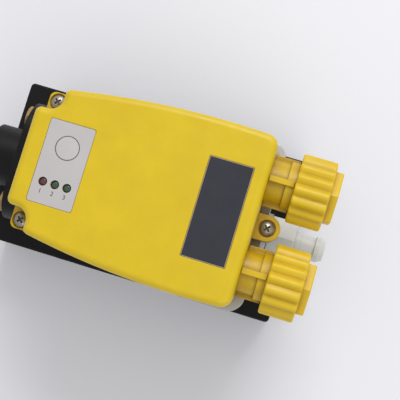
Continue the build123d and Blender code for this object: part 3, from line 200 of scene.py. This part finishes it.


# oily dirt colour that darkens the creases of the board, dark plastic and brass: painted shade, with some
# dirt
OIL_AND_SHADE = srgb(60, 52, 40)
WORN_YELLOW = srgb(232, 204, 84)
WORN_BLACK = srgb(70, 70, 72)
# each finish's grime colour darkens its creases and recesses: painted shade, with some dirt
finishes = {
    "yellow_plastic": surface(
        "hood_yellow", srgb(215, 184, 8), 0.42, grain=0.0005, relief=0.000012, blotch_depth=0.06,
        wear=WORN_YELLOW, wear_amount=0.5, grime_shade=srgb(128, 90, 14), grime_shade_amount=0.8, edge=0.0006,
        specks=0.06,
    ),
    "gland_plastic": surface(
        "gland_yellow", srgb(219, 184, 8), 0.44, grain=0.0006, relief=0.000010, blotch_depth=0.07,
        wear=srgb(240, 212, 100), wear_amount=0.5, grime_shade=srgb(150, 92, 8), grime_shade_amount=0.7, edge=0.0005,
        specks=0.08, grime_shade_reach=0.003, grime_shade_from=0.90, grime_shade_full=0.55,
    ),
    "plug_plastic": surface(
        "plug_yellow", srgb(222, 176, 24), 0.45, grime_shade=srgb(120, 88, 14), wear=srgb(240, 210, 90),
    ),
    # the grime colour darkens the panel's recess edges: painted shade, with some dirt
    "panel_film": surface(
        "panel_grey", srgb(188, 184, 182), 0.42, grain=0.00025, relief=0.000006, blotch_depth=0.04,
        grime_shade=srgb(120, 116, 108), edge=0.0002,
    ),
    "plate_slate": surface(
        "plate_slate", srgb(48, 50, 58), 0.42, metal=0.25, grain=0.0002, relief=0.000004, blotch_depth=0.10,
        wear=srgb(150, 148, 142), edge=0.0002, grime_shade=srgb(40, 38, 36), stretch=(1, 0.1, 1),
    ),
    "button_plastic": surface(
        "button_grey", srgb(190, 186, 182), 0.42, grain=0.0003, relief=0.000006, grime_shade=srgb(110, 106, 98),
        edge=0.0003,
    ),
    "lens_red": surface("lens_red", srgb(104, 58, 62), 0.30, grain=0.0006, coat=0.2, transmission=0.2),
    "lens_green": surface("lens_green", srgb(62, 88, 66), 0.30, grain=0.0006, coat=0.2, transmission=0.2),
    "board_green": surface("board_green", srgb(18, 84, 48), 0.35, grime_shade=OIL_AND_SHADE),
    "dark_plastic": surface("dark_plastic", srgb(40, 40, 42), 0.5, grime_shade=OIL_AND_SHADE),
    "rubber_black": surface("rubber_black", srgb(26, 26, 26), 0.7, grain=0.0003, relief=0.000015),
    # the grime colour darkens the screws' cross recesses almost fully: painted shade, with some dirt
    "steel": surface(
        "zinc_steel", srgb(168, 162, 150), 0.38, metal=0.9, grain=0.0003, relief=0.000006, blotch_depth=0.16,
        wear=srgb(216, 212, 202), grime_shade=srgb(46, 38, 26), grime_shade_amount=0.95, edge=0.0002, grime_shade_reach=0.002,
        grime_shade_from=0.95, grime_shade_full=0.5,
    ),
    "chromated_steel": surface(
        "chromated_steel", srgb(174, 142, 92), 0.34, metal=0.85, blotch=0.004, blotch_depth=0.2,
        wear=srgb(208, 200, 180), grime_shade=srgb(70, 54, 32), grime_shade_amount=0.8, edge=0.0003,
    ),
    "cast_aluminium": surface(
        "cast_aluminium", srgb(196, 196, 192), 0.46, metal=0.75, grain=0.0009, relief=0.00005, blotch=0.008,
        blotch_depth=0.10, wear=srgb(226, 226, 222), grime_shade=srgb(92, 88, 80), grime_shade_amount=0.7, edge=0.0006,
    ),
    "brass": surface("turned_brass", srgb(196, 160, 84), 0.3, metal=0.95, grime_shade=OIL_AND_SHADE),
    "black_paint": surface(
        "black_powder", srgb(15, 14, 14), 0.42, grain=0.0005, relief=0.00003, blotch_depth=0.14,
        wear=WORN_BLACK, wear_amount=0.4, grime_shade=srgb(40, 36, 30), grime_shade_amount=0.4, edge=0.0006,
        specular=0.22,
    ),
    "black_plastic": surface(
        "black_plastic", srgb(16, 16, 17), 0.36, grime_shade=srgb(52, 46, 38), wear=WORN_BLACK, wear_amount=0.3,
        specular=0.35,
    ),
    "grey_plastic": surface(
        "nozzle_grey", srgb(206, 206, 200), 0.42, grain=0.0004, relief=0.000012, grime_shade=srgb(126, 120, 104),
        wear=srgb(232, 232, 226), edge=0.0004,
    ),
}
# the tray's creases are darkened more and further out than the hood's, above all in the necks' pockets:
# painted shade, with some dirt
tray_finish = surface(
    "tray_yellow", srgb(217, 182, 6), 0.44, grain=0.0006, relief=0.000016, blotch_depth=0.10,
    wear=WORN_YELLOW, wear_amount=0.5, grime_shade=srgb(120, 74, 8), grime_shade_amount=0.75, edge=0.0006,
    specks=0.12, grime_shade_reach=0.011, grime_shade_from=0.93, grime_shade_full=0.45,
)
slot_of = {entry["node"]: entry["material_slot"] for entry in frame["record"]["subparts"]}
for node_name, node_object in frame["nodes"].items():
    finish = tray_finish if node_name == "base_tray" else finishes[slot_of[node_name]]
    if not node_object.material_slots:
        node_object.data.materials.append(finish)
    for material_slot in node_object.material_slots:
        material_slot.material = finish


# ---------------------------------------------------------------- added pieces
PRINT_HEIGHT = 0.04 * MM
BORDER_INSET = 0.02 * MM
BORDER_WIDTH = 0.3 * MM
BORDER_RADIUS = 0.3 * MM
BORDER_INNER_RADIUS = 0.15 * MM
BUTTON_HOLE_RADIUS = 4.92 * MM
RING_GAP = 0.02 * MM
RING_WIDTH = 0.22 * MM
LAMP_COUNT = 3
NUMBER_SIZE = 2.6 * MM
NUMBER_OFFSET = 2.2 * MM


def corners(node):
    """Lowest and highest corner of a CAD node's box."""
    low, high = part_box(node)
    return Vector(low), Vector(high)


def add_object(name, data):
    """Object in the scene that holds that data."""
    added = bpy.data.objects.new(name, data)
    bpy.context.scene.collection.objects.link(added)
    return added


def new_piece(name, mesh_maker, finish, body=ROOT):
    """Piece made of a bmesh, with its finish, riding on a body."""
    mesh = bpy.data.meshes.new(name)
    form = bmesh.new()
    mesh_maker(form)
    bmesh.ops.recalc_face_normals(form, faces=form.faces)
    form.to_mesh(mesh)
    form.free()
    for polygon in mesh.polygons:
        polygon.use_smooth = True
    mesh.materials.append(finish)
    piece = add_object(name, mesh)
    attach(piece, body)
    return piece


def join_rings(form, rings):
    """Faces between each closed ring of vertices and the next."""
    for ring, next_ring in zip(rings, rings[1:]):
        for i in range(len(ring)):
            j = (i + 1) % len(ring)
            form.faces.new((ring[i], ring[j], next_ring[j], next_ring[i]))


def rounded_rectangle(length, width, radius, steps=6):
    """Points of a rounded rectangle about the origin, anticlockwise."""
    points = []
    for quarter, (sx, sy) in enumerate(((1, 1), (-1, 1), (-1, -1), (1, -1))):
        for step in range(steps + 1):
            angle = math.pi / 2 * (quarter + step / steps)
            points.append((
                sx * (length / 2 - radius) + radius * math.cos(angle),
                sy * (width / 2 - radius) + radius * math.sin(angle),
            ))
    return points


def circle(radius, steps=48):
    """Points of a circle about the origin, anticlockwise."""
    return [
        (radius * math.cos(2 * math.pi * i / steps), radius * math.sin(2 * math.pi * i / steps))
        for i in range(steps)
    ]


def printed_band(outer, inner, center, face_height):
    """Mesh maker of a thin band on a face, between two outlines with the same number of points."""
    def make(form):
        top = face_height + PRINT_HEIGHT
        rings = []
        for outline, z in ((outer, face_height), (outer, top), (inner, top), (inner, face_height)):
            rings.append([form.verts.new((center[0] + x, center[1] + y, z)) for x, y in outline])
        join_rings(form, rings + rings[:1])
    return make


print_tan = surface("print_tan", srgb(186, 158, 128), 0.45, grain=0.0002, edge=0.0001)
print_dark = surface("print_dark", srgb(70, 70, 74), 0.45, grain=0.0002, edge=0.0001)
print_grey = surface("print_grey", srgb(112, 116, 112), 0.45, grain=0.0002, edge=0.0001)

# tan line along the name plate's rim
plate_low, plate_high = corners("name_plate")
plate_size = plate_high - plate_low
border_outer = 2 * BORDER_INSET
border_inner = 2 * (BORDER_INSET + BORDER_WIDTH)
new_piece(
    "plate_border",
    printed_band(
        rounded_rectangle(plate_size.x - border_outer, plate_size.y - border_outer, BORDER_RADIUS),
        rounded_rectangle(plate_size.x - border_inner, plate_size.y - border_inner, BORDER_INNER_RADIUS),
        (plate_low + plate_high) / 2, plate_high.z,
    ),
    print_tan,
)

# printed ring round the button's hole
panel_low, panel_high = corners("keypad_panel")
button_low, button_high = corners("test_button")
ring_radius = BUTTON_HOLE_RADIUS + RING_GAP
new_piece(
    "button_ring",
    printed_band(
        circle(ring_radius + RING_WIDTH), circle(ring_radius), (button_low + button_high) / 2, panel_high.z,
    ),
    print_grey,
)

# plain numbers beside the lamps
for number in range(1, LAMP_COUNT + 1):
    lamp_low, lamp_high = corners(f"led_lamp_{number}")
    text = bpy.data.curves.new(f"lamp_number_{number}", "FONT")
    text.body = str(number)
    text.size = NUMBER_SIZE
    text.extrude = PRINT_HEIGHT / 2
    text.align_x = "CENTER"
    text.align_y = "CENTER"
    text.materials.append(print_dark)
    label = add_object(f"lamp_number_{number}", text)
    label.location = (
        (lamp_low.x + lamp_high.x) / 2, lamp_low.y - NUMBER_OFFSET, panel_high.z + PRINT_HEIGHT / 2,
    )
    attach(label, ROOT)

# thread in the inlet's bore: a ridge that points inwards and fades out over its first and last turn
PIPE_PITCH = 1.814 * MM
THREAD_TURNS = 6.5
THREAD_DEPTH = 0.6 * MM
THREAD_INSET = 1.2 * MM  # of the first turn from the bore's mouth
THREAD_SINK = 0.05 * MM  # of the ridge's foot into the wall, so that its flat steps don't show
THREAD_FOOT = 0.42  # half widths of the ridge, as shares of the pitch
THREAD_CREST = 0.06
THREAD_STEPS = 40  # for each turn


def thread_ridge(start, wall_radius):
    """Mesh maker of a ridge that runs along X on a bore's wall."""
    def make(form):
        rows = []
        last = int(THREAD_TURNS * THREAD_STEPS)
        for i in range(last + 1):
            angle = 2 * math.pi * i / THREAD_STEPS
            out = Vector((0, -math.sin(angle), math.cos(angle)))
            middle = start.x + PIPE_PITCH * i / THREAD_STEPS
            crest = wall_radius - THREAD_DEPTH * min(1.0, i / THREAD_STEPS, (last - i) / THREAD_STEPS)
            foot = wall_radius + THREAD_SINK
            row = []
            for radius, share in (
                (foot, -THREAD_FOOT), (crest, -THREAD_CREST), (crest, THREAD_CREST), (foot, THREAD_FOOT),
            ):
                x = middle + PIPE_PITCH * share
                row.append(form.verts.new((x, start.y + out.y * radius, start.z + out.z * radius)))
            rows.append(row)
        join_rings(form, rows)
        form.faces.new(rows[0])
        form.faces.new(rows[-1][::-1])
    return make


inlet = next(mount for mount in frame["record"]["mounts"] if mount["name"] == "inlet")
mouth_offset = inlet["dims"]["length_mm"] * MM / 2 - THREAD_INSET
thread_start = Vector(inlet["pos_m"]) + Vector(inlet["axis"]) * mouth_offset
new_piece(
    "inlet_thread", thread_ridge(thread_start, inlet["dims"]["r_mm"] * MM), finishes["black_paint"],
)

# copies of the CAD springs at their rest length, which ride on the root body in their place
for joint in frame["record"]["behaviour"]["joints"]:
    for entry in joint.get("deforming_nodes", []):
        rest_spring = frame["nodes"][entry["node"]]
        spring_mesh = rest_spring.data.copy()
        spring_mesh.transform(rest_spring.matrix_world)
        spring = add_object(entry["node"] + "_coil", spring_mesh)
        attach(spring, ROOT)
        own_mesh(spring)
        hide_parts(entry["node"])

# gland nuts with 17 lobes round the grip, in place of the CAD nuts with 20
LOBES = 17
LOBE_STEPS = 24  # points round each lobe
LOBE_DEPTH = 1.6 * MM
WAVE_SHARE = 0.35  # of the smooth wave in a groove's form; the rest keeps the crests round
GRIP_EDGE = 0.9 * MM
EDGE_STEPS = 5
HEX_LENGTH = 3.3 * MM
HEX_HALF = 10.5 * MM  # from the axis to a flat
HEX_CHAMFER = 0.4 * MM
NUT_BORE = 10.35 * MM
NUT_HOLE = 5.5 * MM
NUT_FRONT = 3.4 * MM
SHARP_ANGLE = math.radians(32)
GROOVE_DEGREES = {"gland_nut_1": 87.0, "gland_nut_2": 77.0}  # where one groove lies, from +Y towards +Z


def grip_radius(angle, radius, groove):
    """Radius of the lobed grip: round crests that meet in narrow grooves."""
    turn = (angle - math.radians(groove)) * LOBES / (2 * math.pi)
    off_crest = abs(turn - math.floor(turn) - 0.5) * 2
    wave = (1 - math.cos(math.pi * off_crest)) / 2
    return radius - LOBE_DEPTH * (WAVE_SHARE * wave + (1 - WAVE_SHARE) * off_crest ** 2)


def hex_radius(angle):
    """Radius of the hexagon, which has a corner upwards."""
    off_flat = (math.degrees(angle) + 30) % 60 - 30
    return HEX_HALF / math.cos(math.radians(off_flat))


def lobed_nut(low, high, groove):
    """Mesh maker of a gland nut about an axis along X: grip, hexagon, front hole and bore."""
    middle = (low + high) / 2
    grip_outer = (high.z - low.z) / 2
    grip_end = high.x - HEX_LENGTH
    tilts = [math.pi / 2 * step / EDGE_STEPS for step in range(EDGE_STEPS + 1)]
    # rounded edge, from the end face to the grip: distance from that face, and cut from the grip's radius
    edge = [(GRIP_EDGE * (1 - math.cos(tilt)), GRIP_EDGE * (1 - math.sin(tilt))) for tilt in tilts]

    def grip(cut):
        return lambda angle: grip_radius(angle, grip_outer, groove) - cut

    def hexagon(cut):
        return lambda angle: hex_radius(angle) - cut

    def round_of(radius):
        return lambda angle: radius

    rows = [(low.x + along, grip(cut)) for along, cut in edge]
    rows += [(grip_end - along, grip(cut)) for along, cut in reversed(edge)]
    rows += [
        (grip_end, hexagon(0)), (high.x - HEX_CHAMFER, hexagon(0)), (high.x, hexagon(HEX_CHAMFER)),
        (high.x, round_of(NUT_HOLE)), (grip_end - NUT_FRONT, round_of(NUT_HOLE)),
        (grip_end - NUT_FRONT, round_of(NUT_BORE)), (low.x, round_of(NUT_BORE)),
    ]

    def make(form):
        rings = []
        for x, radius_at in rows:
            ring = []
            for i in range(LOBES * LOBE_STEPS):
                angle = 2 * math.pi * i / (LOBES * LOBE_STEPS)
                out = radius_at(angle)
                place = (x, middle.y + out * math.cos(angle), middle.z + out * math.sin(angle))
                ring.append(form.verts.new(place))
            rings.append(ring)
        join_rings(form, rings + rings[:1])
    return make


for nut_name, groove in GROOVE_DEGREES.items():
    nut_low, nut_high = corners(nut_name)
    nut = new_piece(
        nut_name + "_grip", lobed_nut(nut_low, nut_high, groove), finishes["gland_plastic"],
        body=nut_name,
    )
    nut.data.set_sharp_from_angle(angle=SHARP_ANGLE)
    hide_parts(nut_name)


# ---------------------------------------------------------------- camera, floor and light
AIM_FROM_LEFT = 76.4 * MM  # along the hood from its left end
AIM_ACROSS = 2.45 * MM
EYE_OFFSET = Vector((36 * MM, -24 * MM, 362 * MM))
PICTURE_UP = Vector((-0.292, 0.956, 0))
LENS = 81.9
SENSOR = 36
FLOOR_HALF = 3.0
FLOOR_DROP = 0.0002
LIGHT_TARGET = Vector((0, 0, 0.05))
LIGHTS = (
    ("key", Vector((0.1, 1.3, 1.35)), 0.9, 19),
    ("fill", Vector((0.9, -0.9, 1.3)), 1.3, 7),
)
WORLD_COLOR = (0.96, 0.97, 1.0, 1)
WORLD_STRENGTH = 0.60

hood_low, hood_high = corners("cover")
aim = Vector((hood_low.x + AIM_FROM_LEFT, AIM_ACROSS, hood_high.z))
eye = aim + EYE_OFFSET
back = (eye - aim).normalized()
right = PICTURE_UP.cross(back).normalized()
up = back.cross(right)
camera_data = bpy.data.cameras.new("camera")
camera_data.lens = LENS
camera_data.sensor_width = SENSOR
camera_data.clip_start = 0.01
camera_data.clip_end = 20
camera = add_object("camera", camera_data)
camera.matrix_world = Matrix.Translation(eye) @ Matrix((right, up, back)).transposed().to_4x4()
bpy.context.scene.camera = camera

paper = Nodes("floor_paper")
paper_shader = paper.add("ShaderNodeBsdfPrincipled", {
    "Base Color": srgb(233, 232, 235), "Roughness": 0.9, "Specular IOR Level": 0.1,
})
paper.add("ShaderNodeOutputMaterial", {"Surface": paper_shader.outputs["BSDF"]})
floor_mesh = bpy.data.meshes.new("floor")
floor_form = bmesh.new()
bmesh.ops.create_grid(floor_form, x_segments=2, y_segments=2, size=FLOOR_HALF)
floor_form.to_mesh(floor_mesh)
floor_form.free()
floor_mesh.materials.append(paper.material)
floor = add_object("floor", floor_mesh)
floor.location = (0, 0, -FLOOR_DROP)

for light_name, place, side, power in LIGHTS:
    light_data = bpy.data.lights.new(light_name, "AREA")
    light_data.shape = "SQUARE"
    light_data.size = side
    light_data.energy = power
    light = add_object(light_name, light_data)
    light.location = place
    light.rotation_euler = (LIGHT_TARGET - place).to_track_quat("-Z", "Y").to_euler()

world = bpy.data.worlds.new("studio")
world.use_nodes = True
world.node_tree.nodes["Background"].inputs["Color"].default_value = WORLD_COLOR
world.node_tree.nodes["Background"].inputs["Strength"].default_value = WORLD_STRENGTH
bpy.context.scene.world = world
bpy.context.scene.view_settings.view_transform = "Standard"
